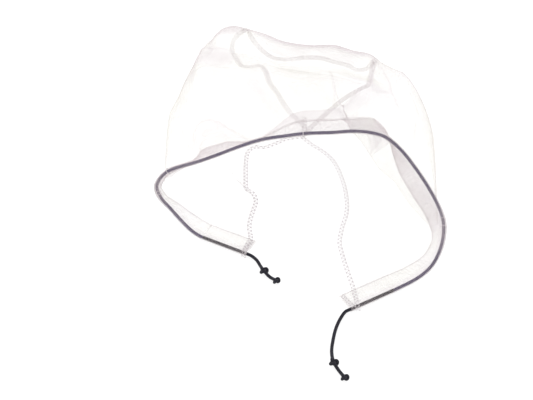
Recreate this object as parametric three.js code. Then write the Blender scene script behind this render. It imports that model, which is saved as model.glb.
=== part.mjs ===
// Netting hood of a bee suit: two tulle side panels joined by one centre seam, a folded
// casing round the face edge with a 3 mm elastic drawcord in it, and an overlocked neck edge.
// It lies on its back with the face opening towards -Y. Millimetres, +Z up.
import * as THREE from 'three';

// ---- driving dimensions -------------------------------------------------------------------
const GAP = 0.4;               // clearance between pieces that touch on the real hood
const HEM_GAP = 1.4;           // netting to the casing, where both curve
const NET = 1.2;               // thickness that stands for one layer of netting

const CORD_D = 3;              // elastic drawcord
const CORD_CLEARANCE = 0.6;    // cord to casing, all round
const CASING_WIDTH = 20;       // cord centre to the stitched inner edge
const CASING_WALL = 0.8;       // one layer of the folded hem
const STITCH_D = 0.7;          // hem stitching thread
const STITCH_INSET = 2.2;      // stitching to the casing's inner edge

const SEAM_WIDTH = 3.6;        // centre seam's overlocked ridge
const SEAM_HEIGHT = 1.6;
const OVERLOCK_WIDTH = 4.3;    // neck edge's overlock
const OVERLOCK_HEIGHT = 1.5;
const TACK_LENGTH = 12;        // bar tack over each casing end
const TACK_WIDTH = 2.2;

const FOLD_HEIGHT = 44;        // top of the fold at the back above the table
const FOLD_TUCK = 9;           // how far the fold rolls under itself
const SHOULDER = 0.74;         // share of the rim's height kept a third of the way back
const CROWN = 0.4;             // and two thirds of the way back

const PULL_STRETCH = 45;       // straight last stretch of the casing at each exit
const KNOT_D = 8.4;            // stop knot across
const KNOT_LENGTH = 7.6;
const END_KNOT_D = 7.4;
const END_KNOT_LENGTH = 6.4;

// ---- routes chosen by hand ----------------------------------------------------------------
// They share one table-top frame, whose point CENTRE comes to lie at the origin.
const CENTRE = [0.12, 45.38];
// The casing: cord centre, then the way the hem lies from it.
const casingRoute = [
  [[-47, -72, 2.9], [0.46, 0.89, -0.1]],
  [[-66, -62.3, 2.9], [0.46, 0.89, -0.1]],
  [[-87, -51.5, 2.9], [0.46, 0.88, -0.1]],
  [[-89.6, -50.2, 2.9], [0.47, 0.88, -0.1]],
  [[-98, -43.4, 3.4], [0.54, 0.83, -0.1]],
  [[-107, -33, 4.5], [0.66, 0.74, -0.13]],
  [[-119, -17, 6], [0.72, 0.66, -0.22]],
  [[-128, -7, 10], [0.75, 0.5, -0.42]],
  [[-132, 0, 17], [0.48, 0.55, -0.7]],
  [[-129, 4, 24], [0.45, 0.72, -0.53]],
  [[-121, 6, 32], [0.45, 0.8, -0.4]],
  [[-109, 4, 40], [0.35, 0.84, -0.41]],
  [[-94, 1, 47], [0.2, 0.92, -0.3]],
  [[-76, 2, 54], [0.1, 0.95, -0.25]],
  [[-53, 6, 62], [0, 0.97, -0.05]],
  [[-33, 9, 68], [0, 0.95, 0.2]],
  [[-12, 10, 73], [0, 0.9, 0.4]],
  [[6, 10, 76], [0, 0.89, 0.45]],
  [[29, 9, 78], [0, 0.89, 0.45]],
  [[52, 12, 77], [0, 0.89, 0.42]],
  [[68, 13, 74], [0, 0.93, 0.25]],
  [[80, 13, 69], [-0.1, 0.95, -0.2]],
  [[94, 6, 60], [-0.4, 0.6, -0.68]],
  [[107, -6, 49], [-0.58, 0.2, -0.78]],
  [[119, -21, 38], [-0.6, 0.05, -0.8]],
  [[128, -36, 28], [-0.55, 0.17, -0.8]],
  [[132, -49, 21], [-0.52, 0.25, -0.8]],
  [[131, -63, 15], [-0.6, 0.45, -0.62]],
  [[126, -78, 9.5], [-0.7, 0.6, -0.38]],
  [[118, -91, 6], [-0.7, 0.68, -0.22]],
  [[106, -102, 4], [-0.62, 0.77, -0.14]],
  [[86, -114.3, 2.9], [-0.5, 0.86, -0.1]],
  [[83.2, -115.9, 2.9], [-0.49, 0.87, -0.1]],
  [[63, -127.3, 2.9], [-0.49, 0.87, -0.1]],
  [[44, -138, 2.9], [-0.49, 0.87, -0.1]],
];
const FOREHEAD = 17;           // place in casingRoute of the centre seam
const LEFT_RISE = 9;           // where the casing leaves the table on the left
const RIGHT_RISE = 25.4;       // and on the right
const SEAM_TURN = 0.35;        // share of the right outline at which the seam under it turns back
const leftNeckStart = [0.43, 4.5];     // place in casingRoute, and distance from the casing
const rightNeckStart = [33.25, 1];

// The hood's outline seen from above, from each side of the face opening to the crown.
const leftOutline = [[-127, 22], [-127, 50], [-125, 82], [-116, 116], [-108, 151], [-98, 190],
  [-89, 206], [-78, 226], [-67, 231], [-50, 225]];
const rightOutline = [[-50, 225], [-32, 216], [-14, 204], [14, 197], [40, 197], [60, 187],
  [77, 181], [89, 166], [99, 157], [111, 147], [120, 127], [126, 104], [131, 70], [132, 30],
  [131, -8], [130, -34]];

// The neck edge on the table, from beside each casing end to the nape.
const leftNeck = [[-45, -34], [-42, -17], [-39, -2], [-42, 8], [-48, 14], [-49, 30],
  [-49, 50], [-47, 66], [-40, 73], [-32, 72], [-20, 78], [-10, 84], [6, 88]];
const rightNeck = [[46, -102], [43, -88], [40, -72], [38, -57], [41, -38], [46, -18],
  [47, 0], [44, 26], [36, 53], [25, 68], [16, 76], [6, 88]];
// The centre seam under the hood, from the nape to the corner where it turns back.
const napeSeam = [[6, 88], [20, 108], [34, 126], [47, 141], [59, 153]];

// The free ends of the cord, from where they leave the casing to their end knots.
const leftTail = [[-47, -72, 2.9], [-43, -74.2, 2.8], [-38, -79, 2.2], [-34.5, -86, 2],
  [-31.5, -93.5, 4.3]];
const leftTag = [[-31.5, -93.5, 4.3], [-26.5, -99, 2.2], [-20.5, -105, 3.8]];
const rightTail = [[44, -138, 2.9], [40, -140.3, 2.8], [35.5, -147, 2.1], [31, -158, 1.8],
  [28, -171, 1.8], [26.3, -184, 2.2], [27.5, -197, 4.3]];
const rightTag = [[27.5, -197, 4.3], [31.5, -204, 2.2], [36, -212.5, 3.8]];

// ---- helpers ------------------------------------------------------------------------------
const hood = new THREE.Group();
const colours = {
  netting: [0xf4efed, 0.9], casing: [0xe9e2e1, 0.88], thread: [0xe2dad9, 0.8], cord: [0x0b0b0f, 0.75],
};

function add(name, geometry, finish, parent = hood) {
  const [color, roughness] = colours[finish];
  const material = new THREE.MeshStandardMaterial({ color, roughness, metalness: 0 });
  if (finish === 'netting') material.side = THREE.DoubleSide;
  const mesh = new THREE.Mesh(geometry, material);
  mesh.name = name;
  parent.add(mesh);
  return mesh;
}

const vec = (p) => new THREE.Vector3(p[0], p[1], p[2] ?? 0);
const spline = (points) => new THREE.CatmullRomCurve3(points.map(vec), false, 'centripetal');
const steps = (count) => Array.from({ length: count + 1 }, (_, i) => i / count);

/** True when a ring runs anticlockwise about the way to the next one. */
function turnsWith(ring, next) {
  const area = new THREE.Vector3();
  ring.forEach((p, i) => area.add(p.clone().sub(ring[0]).cross(
    ring[(i + 1) % ring.length].clone().sub(ring[0]))));
  return area.dot(next[0].clone().sub(ring[0])) > 0;
}

/** Closes rings of points into one solid, with a hole right through it if `holes` are given. */
function loft(rings, holes = null) {
  if (!turnsWith(rings[0], rings[1])) [...rings, ...(holes ?? [])].forEach((r) => r.reverse());
  const sides = rings[0].length;
  const points = [...rings.flat(), ...(holes ? holes.flat() : [])];
  const index = [];
  const quad = (a, b, c, d) => index.push(a, b, c, a, c, d);
  const at = (row, side) => row * sides + (side % sides);
  const last = rings.length - 1;
  for (let r = 0; r < last; r += 1) {
    for (let s = 0; s < sides; s += 1) quad(at(r, s), at(r, s + 1), at(r + 1, s + 1), at(r + 1, s));
  }
  if (holes) {
    const inner = (row, side) => rings.length * sides + at(row, side);
    for (let r = 0; r < last; r += 1) {
      for (let s = 0; s < sides; s += 1) {
        quad(inner(r, s), inner(r + 1, s), inner(r + 1, s + 1), inner(r, s + 1));
      }
    }
    for (let s = 0; s < sides; s += 1) {
      quad(at(0, s), inner(0, s), inner(0, s + 1), at(0, s + 1));
      quad(at(last, s), at(last, s + 1), inner(last, s + 1), inner(last, s));
    }
  } else {
    for (let s = 1; s < sides - 1; s += 1) {
      index.push(at(0, 0), at(0, s + 1), at(0, s), at(last, 0), at(last, s), at(last, s + 1));
    }
  }
  const geometry = new THREE.BufferGeometry().setFromPoints(points).setIndex(index);
  geometry.computeVertexNormals();
  return geometry;
}

/** A sheet of netting from a grid of points, as a solid NET thick. */
function sheet(grid) {
  const rows = grid.length;
  const cols = grid[0].length;
  const pick = (r, c) => grid[Math.min(Math.max(r, 0), rows - 1)][Math.min(Math.max(c, 0), cols - 1)];
  const normal = (r, c) => pick(r + 1, c).clone().sub(pick(r - 1, c))
    .cross(pick(r, c + 1).clone().sub(pick(r, c - 1))).normalize();
  const face = (sign) => grid.map((row, r) => row.map((p, c) => (
    p.clone().addScaledVector(normal(r, c), sign * NET / 2))));
  const points = [...face(1).flat(), ...face(-1).flat()];
  const at = (side, r, c) => side * rows * cols + r * cols + c;
  const index = [];
  const quad = (a, b, c, d) => index.push(a, b, c, a, c, d);
  for (let r = 0; r < rows - 1; r += 1) {
    for (let c = 0; c < cols - 1; c += 1) {
      quad(at(0, r, c), at(0, r + 1, c), at(0, r + 1, c + 1), at(0, r, c + 1));
      quad(at(1, r, c), at(1, r, c + 1), at(1, r + 1, c + 1), at(1, r + 1, c));
    }
    quad(at(0, r, 0), at(1, r, 0), at(1, r + 1, 0), at(0, r + 1, 0));
    quad(at(0, r, cols - 1), at(0, r + 1, cols - 1), at(1, r + 1, cols - 1), at(1, r, cols - 1));
  }
  for (let c = 0; c < cols - 1; c += 1) {
    quad(at(0, 0, c), at(0, 0, c + 1), at(1, 0, c + 1), at(1, 0, c));
    quad(at(0, rows - 1, c), at(1, rows - 1, c), at(1, rows - 1, c + 1), at(0, rows - 1, c + 1));
  }
  const geometry = new THREE.BufferGeometry().setFromPoints(points).setIndex(index);
  geometry.computeVertexNormals();
  return geometry;
}

/** A round cord along part of a curve: `from` and `to` are lengths left out at its two ends. */
function cordTube(curve, from, to, diameter, count, sides = 10) {
  const length = curve.getLength();
  const start = from / length;
  const span = 1 - (from + to) / length;
  const path = new THREE.CatmullRomCurve3(
    steps(count).map((t) => curve.getPointAt(start + t * span)), false, 'centripetal');
  const circle = new THREE.Shape(steps(sides).slice(0, -1).map((t) => new THREE.Vector2(
    (diameter / 2) * Math.cos(t * 2 * Math.PI), (diameter / 2) * Math.sin(t * 2 * Math.PI))));
  return new THREE.ExtrudeGeometry(circle, { steps: count, extrudePath: path, bevelEnabled: false });
}

/** Moves a flat polyline sideways, to the left of its direction for a positive distance. */
function offset(points, distance) {
  return points.map((p, i) => {
    const before = points[Math.max(i - 1, 0)];
    const after = points[Math.min(i + 1, points.length - 1)];
    const along = new THREE.Vector2(after[0] - before[0], after[1] - before[1]).normalize();
    return [p[0] - along.y * distance, p[1] + along.x * distance];
  });
}

/** Even points along a flat polyline's smooth curve. */
function smooth(points, count) {
  const curve = spline(points);
  return steps(count).map((t) => curve.getPointAt(t)).map((p) => [p.x, p.y]);
}

/** A flat strip on the table along a polyline, from z = lift upwards. */
function strip(points, width, height, lift) {
  const left = offset(points, width / 2);
  const right = offset(points, -width / 2);
  return loft(points.map((_, i) => [
    new THREE.Vector3(...left[i], lift), new THREE.Vector3(...left[i], lift + height),
    new THREE.Vector3(...right[i], lift + height), new THREE.Vector3(...right[i], lift),
  ]));
}

// ---- casing -------------------------------------------------------------------------------
const rim = spline(casingRoute.map(([cord]) => cord));
const lean = spline(casingRoute.map(([, way]) => way));
const place = (index) => index / (casingRoute.length - 1);
const bore = CORD_D / 2 + CORD_CLEARANCE;
const bead = bore + CASING_WALL;
const taper = 9;               // the two layers lie together from here inwards

/** Cord centre, inward direction and inside normal of the casing at t. */
function casingFrame(t) {
  const origin = rim.getPoint(t);
  const along = rim.getTangent(t);
  const inward = lean.getPoint(t);
  inward.addScaledVector(along, -inward.dot(along)).normalize();
  return { origin, along, inward, inside: inward.clone().cross(along) };
}

/** A point of the casing, `reach` inwards from the cord and `rise` to its inside. */
function casingPoint(t, reach, rise = 0) {
  const { origin, inward, inside } = casingFrame(t);
  return origin.clone().addScaledVector(inward, reach).addScaledVector(inside, rise);
}
const halfThickness = (reach) => THREE.MathUtils.lerp(
  bead, CASING_WALL, THREE.MathUtils.clamp(reach / taper, 0, 1));

function casing(from, to, count) {
  const arc = steps(6).map((t) => (0.5 + t) * Math.PI);
  const rings = [];
  const holes = [];
  for (const t of steps(count).map((s) => THREE.MathUtils.lerp(from, to, s))) {
    rings.push([...arc.map((a) => casingPoint(t, bead * Math.cos(a), bead * Math.sin(a))),
      casingPoint(t, taper, -CASING_WALL), casingPoint(t, CASING_WIDTH, -CASING_WALL),
      casingPoint(t, CASING_WIDTH, CASING_WALL), casingPoint(t, taper, CASING_WALL)]);
    holes.push([...arc, -0.28 * Math.PI, -0.1 * Math.PI, 0.1 * Math.PI, 0.28 * Math.PI].map(
      (a) => casingPoint(t, bore * Math.cos(a), bore * Math.sin(a))));
  }
  return loft(rings, holes);
}

/** Thread lying on the inside of the casing along its inner edge. */
function hemStitch(from, to, count) {
  const rise = CASING_WALL + 2 * GAP + STITCH_D / 2;
  const points = steps(count).map((s) => casingPoint(
    THREE.MathUtils.lerp(from, to, s), CASING_WIDTH - STITCH_INSET, rise));
  return cordTube(new THREE.CatmullRomCurve3(points, false, 'centripetal'), 1, 1, STITCH_D, count, 5);
}

/** Close stitching across the casing at t, from the cord's bead to the inner edge. */
function acrossCasing(t, from, to, width) {
  const { along } = casingFrame(t);
  return loft(steps(4).map((s) => THREE.MathUtils.lerp(from, to, s)).map((reach) => {
    const low = halfThickness(reach) + GAP;
    const corner = (side, rise) => casingPoint(t, reach, rise)
      .addScaledVector(along, (side * width) / 2);
    return [corner(-1, low), corner(1, low), corner(1, low + 0.9), corner(-1, low + 0.9)];
  }));
}

const slitShare = (GAP / 2) / rim.getLength();
const forehead = place(FOREHEAD);
add('left_casing', casing(0, forehead - slitShare, 44), 'casing');
add('right_casing', casing(forehead + slitShare, 1, 46), 'casing');
add('left_hem_stitching', hemStitch(0.01, forehead - 0.012, 40), 'thread');
add('right_hem_stitching', hemStitch(forehead + 0.012, 0.99, 42), 'thread');
add('forehead_tack', acrossCasing(forehead, 2, CASING_WIDTH - 5, TACK_WIDTH), 'thread');
add('left_bar_tack', acrossCasing(0.006, 2, 2 + TACK_LENGTH, TACK_WIDTH), 'thread');
add('right_bar_tack', acrossCasing(0.994, 2, 2 + TACK_LENGTH, TACK_WIDTH), 'thread');
add('drawcord', cordTube(rim, PULL_STRETCH + GAP, PULL_STRETCH + GAP, CORD_D, 76, 8), 'cord');

// ---- netting over the top -----------------------------------------------------------------
/** One rib of the hood: from the casing's hem back over the top and down to the table. */
function rib(t, edge) {
  const hem = casingPoint(t, CASING_WIDTH + HEM_GAP + NET / 2);
  const back = new THREE.Vector3(edge.x, edge.y, 0);
  const span = Math.hypot(edge.x - hem.x, edge.y - hem.y);
  const puff = THREE.MathUtils.clamp(span / 70, 0.15, 1);
  const tuck = (FOLD_TUCK * puff) / span;
  const point = (share, z) => {
    const p = hem.clone().lerp(back, share);
    p.z = z;
    return p;
  };
  const fold = FOLD_HEIGHT * puff;
  return new THREE.CatmullRomCurve3([hem,
    point(0.33, Math.max(hem.z * SHOULDER + 8 * puff, fold * 0.6)),
    point(0.66, Math.max(hem.z * CROWN + 12 * puff, fold)), point(0.93, fold * 0.9),
    point(1, fold * 0.5), point(1 - tuck * 0.35, fold * 0.14), point(1 - tuck, NET / 2 + 0.05)],
  false, 'centripetal');
}

/** Grid of one upper side panel; `trim` keeps its seam edge clear of the centre seam. */
function upperPanel(from, to, outline, seamFirst) {
  const edge = spline(outline);
  const rows = 22;
  const cols = 24;
  const at = (u, w) => rib(THREE.MathUtils.lerp(from, to, u), edge.getPointAt(u)).getPoint(w);
  const seamU = seamFirst ? 0 : 1;
  const stepU = seamFirst ? 0.02 : -0.02;
  return steps(rows).map((s) => steps(cols).map((w) => {
    const rate = at(seamU, w).distanceTo(at(seamU + stepU, w)) / 0.02;
    const trim = (1.4 * SEAM_WIDTH / 2 + GAP) / rate;
    return at(seamFirst ? THREE.MathUtils.lerp(trim, 1, s) : THREE.MathUtils.lerp(0, 1 - trim, s), w);
  }));
}
const leftRise = place(LEFT_RISE);
const rightRise = place(RIGHT_RISE);
add('left_upper_panel', sheet(upperPanel(leftRise, forehead, leftOutline, false)), 'netting');
add('right_upper_panel', sheet(upperPanel(forehead, rightRise, rightOutline, true)), 'netting');

const crown = spline(leftOutline).getPointAt(1);
const seamRib = rib(forehead, crown);
add('upper_centre_seam', loft(steps(30).map((w) => {
  const p = seamRib.getPoint(w);
  const along = seamRib.getTangent(w);
  const side = new THREE.Vector3(along.y, -along.x, 0).normalize();
  const up = side.clone().cross(along).normalize();
  const corner = (a, b) => p.clone().addScaledVector(side, (a * SEAM_WIDTH) / 2)
    .addScaledVector(up, b * (w > 0.9 ? NET / 2 : SEAM_HEIGHT / 2));
  return [corner(-1, -1), corner(-1, 1), corner(1, 1), corner(1, -1)];
})), 'thread');

// ---- netting on the table -----------------------------------------------------------------
const footMargin = 3 * GAP + NET / 2;
/** Where the ribs of an upper panel reach the table, `clear` inside them, for shares of its edge. */
function footLine(from, to, outline, shares, clear = footMargin) {
  const edge = spline(outline);
  return shares.map((u) => {
    const curve = rib(THREE.MathUtils.lerp(from, to, u), edge.getPointAt(u));
    const foot = curve.getPoint(1);
    const inward = curve.getTangent(1).setZ(0).normalize();
    return [foot.x + inward.x * clear, foot.y + inward.y * clear];
  });
}
/** Plan point beside the casing, a distance from its inner edge. */
function besideCasing(index, distance) {
  const p = casingPoint(place(index), CASING_WIDTH + distance);
  return [p.x, p.y];
}
const hemLine = (indices) => indices.map((i) => besideCasing(i, HEM_GAP));
const plate = (outline) => new THREE.ExtrudeGeometry(
  new THREE.Shape(outline.map((p) => new THREE.Vector2(...p))), { depth: NET, bevelEnabled: false });

const edgeMargin = OVERLOCK_WIDTH / 2 + GAP;
const seamMargin = SEAM_WIDTH / 2 + GAP;
const backShares = [1, 0.86, 0.72, 0.58, 0.44, 0.3, 0.16, 0.06].map((share) => share * SEAM_TURN);
const seamPath = smooth([...napeSeam, ...footLine(
  forehead, rightRise, rightOutline, backShares, footMargin + seamMargin + HEM_GAP)], 44);
const turn = seamPath.reduce((best, p, i) => (p[0] > seamPath[best][0] ? i : best), 0);
const leftNeckPath = smooth([besideCasing(...leftNeckStart), ...leftNeck], 30);
const rightNeckPath = smooth([besideCasing(...rightNeckStart), ...rightNeck], 30);
const turnShares = steps(20).map((s) => THREE.MathUtils.lerp(SEAM_TURN + 0.05, 1, s));

add('left_lower_panel', plate([
  ...offset(leftNeckPath.slice(1, -1), edgeMargin),
  ...offset(seamPath.slice(2), seamMargin),
  ...footLine(leftRise, forehead, leftOutline, steps(22)).reverse().slice(2),
  ...hemLine([LEFT_RISE - 1, LEFT_RISE - 2, 6, 5, 4, 2, 0.6]),
]), 'netting');
add('right_lower_panel', plate([
  ...offset(rightNeckPath.slice(1, -1), -edgeMargin),
  ...offset(seamPath.slice(2, turn - 2), -seamMargin),
  ...footLine(forehead, rightRise, rightOutline, turnShares),
  ...hemLine([RIGHT_RISE + 1, RIGHT_RISE + 1.5, RIGHT_RISE + 2, 28.2, 29, 30, 31, 33]),
]), 'netting');
add('lower_centre_seam', strip(seamPath.slice(1), SEAM_WIDTH, SEAM_HEIGHT, 0.1), 'thread');
add('left_neck_overlock', strip(leftNeckPath.slice(1, -1), OVERLOCK_WIDTH, OVERLOCK_HEIGHT, 0.1),
  'thread');
add('right_neck_overlock', strip(rightNeckPath.slice(0, -1), OVERLOCK_WIDTH, OVERLOCK_HEIGHT, 0.1),
  'thread');

// ---- cord ends ----------------------------------------------------------------------------
/** A tied knot as a lobed lump, its long axis along `way`. */
function knot(centre, way, diameter, length) {
  const geometry = new THREE.SphereGeometry(1, 16, 12);
  const spot = geometry.attributes.position;
  for (let i = 0; i < spot.count; i += 1) {
    const p = new THREE.Vector3().fromBufferAttribute(spot, i);
    const lobes = 0.9 + 0.1 * Math.cos(3 * Math.atan2(p.z, p.x) + 2.4 * p.y);
    const round = Math.hypot(p.x, p.z) > 1e-6 ? lobes : 0.9;
    spot.setXYZ(i, (p.x * round * diameter) / 2, (p.y * length) / 2, (p.z * round * diameter) / 2);
  }
  const turn = new THREE.Quaternion().setFromUnitVectors(new THREE.Vector3(0, 1, 0), way);
  geometry.applyQuaternion(turn);
  geometry.translate(centre.x, centre.y, centre.z);
  geometry.computeVertexNormals();
  return geometry;
}

function cordEnd(side, tail, tag, exitT) {
  const end = new THREE.Group();
  end.name = `${side}_cord_end`;
  hood.add(end);
  const exitAlong = rim.getTangent(exitT).multiplyScalar(exitT === 0 ? -1 : 1);
  const root = vec(tail[0]).addScaledVector(exitAlong, -PULL_STRETCH);
  const middle = vec(tail[0]).addScaledVector(exitAlong, -PULL_STRETCH / 2);
  const tailCurve = new THREE.CatmullRomCurve3([root, middle, ...tail.map(vec)], false, 'centripetal');
  const tagCurve = spline(tag);
  const knotWay = tailCurve.getTangent(1);
  const endWay = tagCurve.getTangent(1);
  add(`${side}_cord_tail`, cordTube(tailCurve, 0, KNOT_LENGTH / 2 + GAP, CORD_D, 40), 'cord', end);
  add(`${side}_stop_knot`, knot(vec(tag[0]), knotWay, KNOT_D, KNOT_LENGTH), 'cord', end);
  add(`${side}_cord_tag`, cordTube(tagCurve, KNOT_LENGTH / 2 + GAP + 0.6, END_KNOT_LENGTH / 2 + GAP,
    CORD_D, 8), 'cord', end);
  add(`${side}_end_knot`, knot(vec(tag.at(-1)), endWay, END_KNOT_D, END_KNOT_LENGTH), 'cord', end);
}
cordEnd('left', leftTail, leftTag, 0);
cordEnd('right', rightTail, rightTag, 1);

hood.position.set(-CENTRE[0], -CENTRE[1], 0);
export default hood;
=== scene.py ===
"""A sheer netting hood of a bee suit, lying on its back on a white table.

Two tulle side panels meet in one overlocked centre seam. A folded casing round the face edge
holds a black elastic drawcord, whose two free ends are tied in stop knots. The neck edge is
overlocked. Work is in millimetres in the routes' own frame; meshes are put down in metres, in
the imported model's frame.
"""
import logging
import math
from collections.abc import Iterable, Sequence
from dataclasses import dataclass, field
from enum import Enum

import bmesh
import bpy
import numpy as np
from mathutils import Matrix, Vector


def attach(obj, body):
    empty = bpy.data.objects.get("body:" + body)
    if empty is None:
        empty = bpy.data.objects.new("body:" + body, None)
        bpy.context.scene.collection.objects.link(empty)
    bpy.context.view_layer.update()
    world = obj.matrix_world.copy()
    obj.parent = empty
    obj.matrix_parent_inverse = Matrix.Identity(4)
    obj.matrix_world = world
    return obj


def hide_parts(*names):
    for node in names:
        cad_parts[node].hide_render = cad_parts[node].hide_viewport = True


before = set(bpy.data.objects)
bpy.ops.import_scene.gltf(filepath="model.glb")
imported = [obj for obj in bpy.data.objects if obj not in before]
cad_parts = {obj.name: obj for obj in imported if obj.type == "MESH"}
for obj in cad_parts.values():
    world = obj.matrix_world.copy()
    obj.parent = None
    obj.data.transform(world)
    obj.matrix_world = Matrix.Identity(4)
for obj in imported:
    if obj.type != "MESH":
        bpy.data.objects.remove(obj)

log = logging.getLogger("netting_hood")
Array = np.ndarray
Table = tuple[tuple[float, ...], ...]   # rows of a place and the values there
Part = tuple[Array, Array, Array]       # points, faces and texture places
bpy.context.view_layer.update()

MM = 0.001
CORD_SIDES, THREAD_SIDES = 16, 6
CENTRE = np.array([0.12, 45.38, 0.0])   # the routes' point that lies at the model's origin

# The casing's route: cord centre, then the way the hem lies from it.
CASING_ROUTE = (
    ((-47, -72, 2.9), (0.46, 0.89, -0.1)),
    ((-66, -62.3, 2.9), (0.46, 0.89, -0.1)),
    ((-87, -51.5, 2.9), (0.46, 0.88, -0.1)),
    ((-89.6, -50.2, 2.9), (0.47, 0.88, -0.1)),
    ((-98, -43.4, 3.4), (0.54, 0.83, -0.1)),
    ((-107, -33, 4.5), (0.66, 0.74, -0.13)),
    ((-119, -17, 6), (0.72, 0.66, -0.22)),
    ((-128, -7, 10), (0.75, 0.5, -0.42)),
    ((-132, 0, 17), (0.48, 0.55, -0.7)),
    ((-129, 4, 24), (0.45, 0.72, -0.53)),
    ((-121, 6, 32), (0.45, 0.8, -0.4)),
    ((-109, 4, 40), (0.35, 0.84, -0.41)),
    ((-94, 1, 48.5), (0.2, 0.92, -0.3)),
    ((-76, 2, 56), (0.1, 0.95, -0.25)),
    ((-53, 6, 64), (0, 0.97, -0.05)),
    ((-33, 9, 69.5), (0, 0.95, 0.2)),
    ((-12, 10, 73), (0, 0.9, 0.4)),
    ((6, 10, 76), (0, 0.89, 0.45)),
    ((29, 9, 78), (0, 0.89, 0.45)),
    ((52, 12, 77), (0, 0.89, 0.42)),
    ((68, 13, 74), (0, 0.93, 0.25)),
    ((80, 13, 69), (-0.1, 0.95, -0.2)),
    ((94, 6, 60), (-0.4, 0.6, -0.68)),
    ((107, -6, 49), (-0.58, 0.2, -0.78)),
    ((119, -21, 38), (-0.6, 0.05, -0.8)),
    ((128, -36, 28), (-0.55, 0.17, -0.8)),
    ((132, -49, 21), (-0.52, 0.25, -0.8)),
    ((131, -63, 15), (-0.6, 0.45, -0.62)),
    ((126, -78, 9.5), (-0.7, 0.6, -0.38)),
    ((118, -91, 6), (-0.7, 0.68, -0.22)),
    ((106, -102, 4), (-0.62, 0.77, -0.14)),
    ((86, -114.3, 2.9), (-0.5, 0.86, -0.1)),
    ((83.2, -115.9, 2.9), (-0.49, 0.87, -0.1)),
    ((63, -127.3, 2.9), (-0.49, 0.87, -0.1)),
    ((44, -138, 2.9), (-0.49, 0.87, -0.1)),
)
SPANS = len(CASING_ROUTE) - 1
# Places on it, counted in knots: the centre seam, and where the rim leaves the table.
FOREHEAD, LEFT_RISE, RIGHT_RISE = 17, 9, 25.4
RIB_SPANS = 7                           # spans between the knots of one rib of netting

# The outer fold and the neck edge, seen from above.
LEFT_OUTLINE = ((-127, 22), (-127, 50), (-125, 82), (-116, 116), (-108, 151), (-98, 190),
                (-89, 206), (-78, 226), (-67, 231), (-50, 225))
RIGHT_OUTLINE = ((-50, 225), (-32, 216), (-14, 204), (14, 197), (40, 197), (60, 187), (77, 181),
                 (89, 166), (99, 157), (111, 147), (120, 127), (126, 104), (131, 70), (132, 30),
                 (131, -8), (130, -34))
LEFT_NECK = ((-44, -46), (-45, -34), (-42, -17), (-39, -2), (-42, 8), (-48, 14), (-49, 30),
             (-49, 50), (-47, 66), (-40, 73), (-32, 72), (-20, 78), (-10, 84), (6, 88))
RIGHT_NECK = ((48, -112), (46, -102), (43, -88), (40, -72), (38, -57), (41, -38), (46, -18),
              (47, 0), (44, 26), (36, 53), (25, 68), (16, 76), (6, 88))
NAPE_SEAM = ((6, 88), (20, 108), (34, 126), (46, 141), (59, 154), (69, 162), (76, 167))

# The overlocked seams as they lie: over the crown, then under the fold from the nape to its peak.
CROWN_SEAM = ((6, 12, 80), (0, 20, 83), (-7, 29, 84), (-14, 45, 83), (-19, 63, 79), (-26, 84, 74),
              (-30, 111, 66), (-36, 128, 59), (-44, 130, 56), (-53, 136, 52), (-59, 156, 45),
              (-64, 172, 44), (-62, 190, 44), (-54, 203, 43), (-49, 216, 35), (-46, 223, 22))
BACK_SEAM = ((6, 88, 1), (20, 108, 1), (34, 126, 1), (46, 141, 1), (59, 154, 1), (69, 162, 1),
             (76, 167, 1), (78, 173, 2), (80, 178, 8), (82, 180, 17), (82, 176, 27), (80, 180, 20),
             (75, 181, 12), (65, 184, 8), (57, 188, 10), (41, 196, 9), (28, 197, 13), (12, 198, 13),
             (-3, 200, 9), (-21, 206, 6), (-31, 214, 7), (-39, 220, 12), (-46, 223, 22))
# Where the neck edge's stitching runs on over the casing's ends.
LEFT_NECK_END = ((-50, -76, 2), (-48.5, -70, 6), (-46, -61, 4), (-43.5, -54, 2.5))
RIGHT_NECK_END = ((51, -139, 2), (50, -134, 6), (49.5, -126, 4), (48.5, -119, 2.5))
# The cord's free ends: bare cord from the casing to the stop knot, then the tag.
LEFT_TAIL = ((-47, -72, 2.9), (-43, -74.2, 2.8), (-38, -79, 2.2), (-34.5, -86, 2),
             (-31.5, -93.5, 4.3))
LEFT_TAG = ((-31.5, -93.5, 4.3), (-26.5, -99, 2.2), (-20.5, -105, 3.8))
RIGHT_TAIL = ((44, -138, 2.9), (40, -140.3, 2.8), (35.5, -147, 2.1), (31, -158, 1.8),
              (28, -171, 1.8), (26.3, -184, 2.2), (27.5, -197, 4.3))
RIGHT_TAG = ((27.5, -197, 4.3), (31.5, -204, 2.2), (36, -212.5, 3.8))


class Side(Enum):
    """The two halves of the hood, named as they lie when seen from the face opening."""

    LEFT = "left"
    RIGHT = "right"


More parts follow.
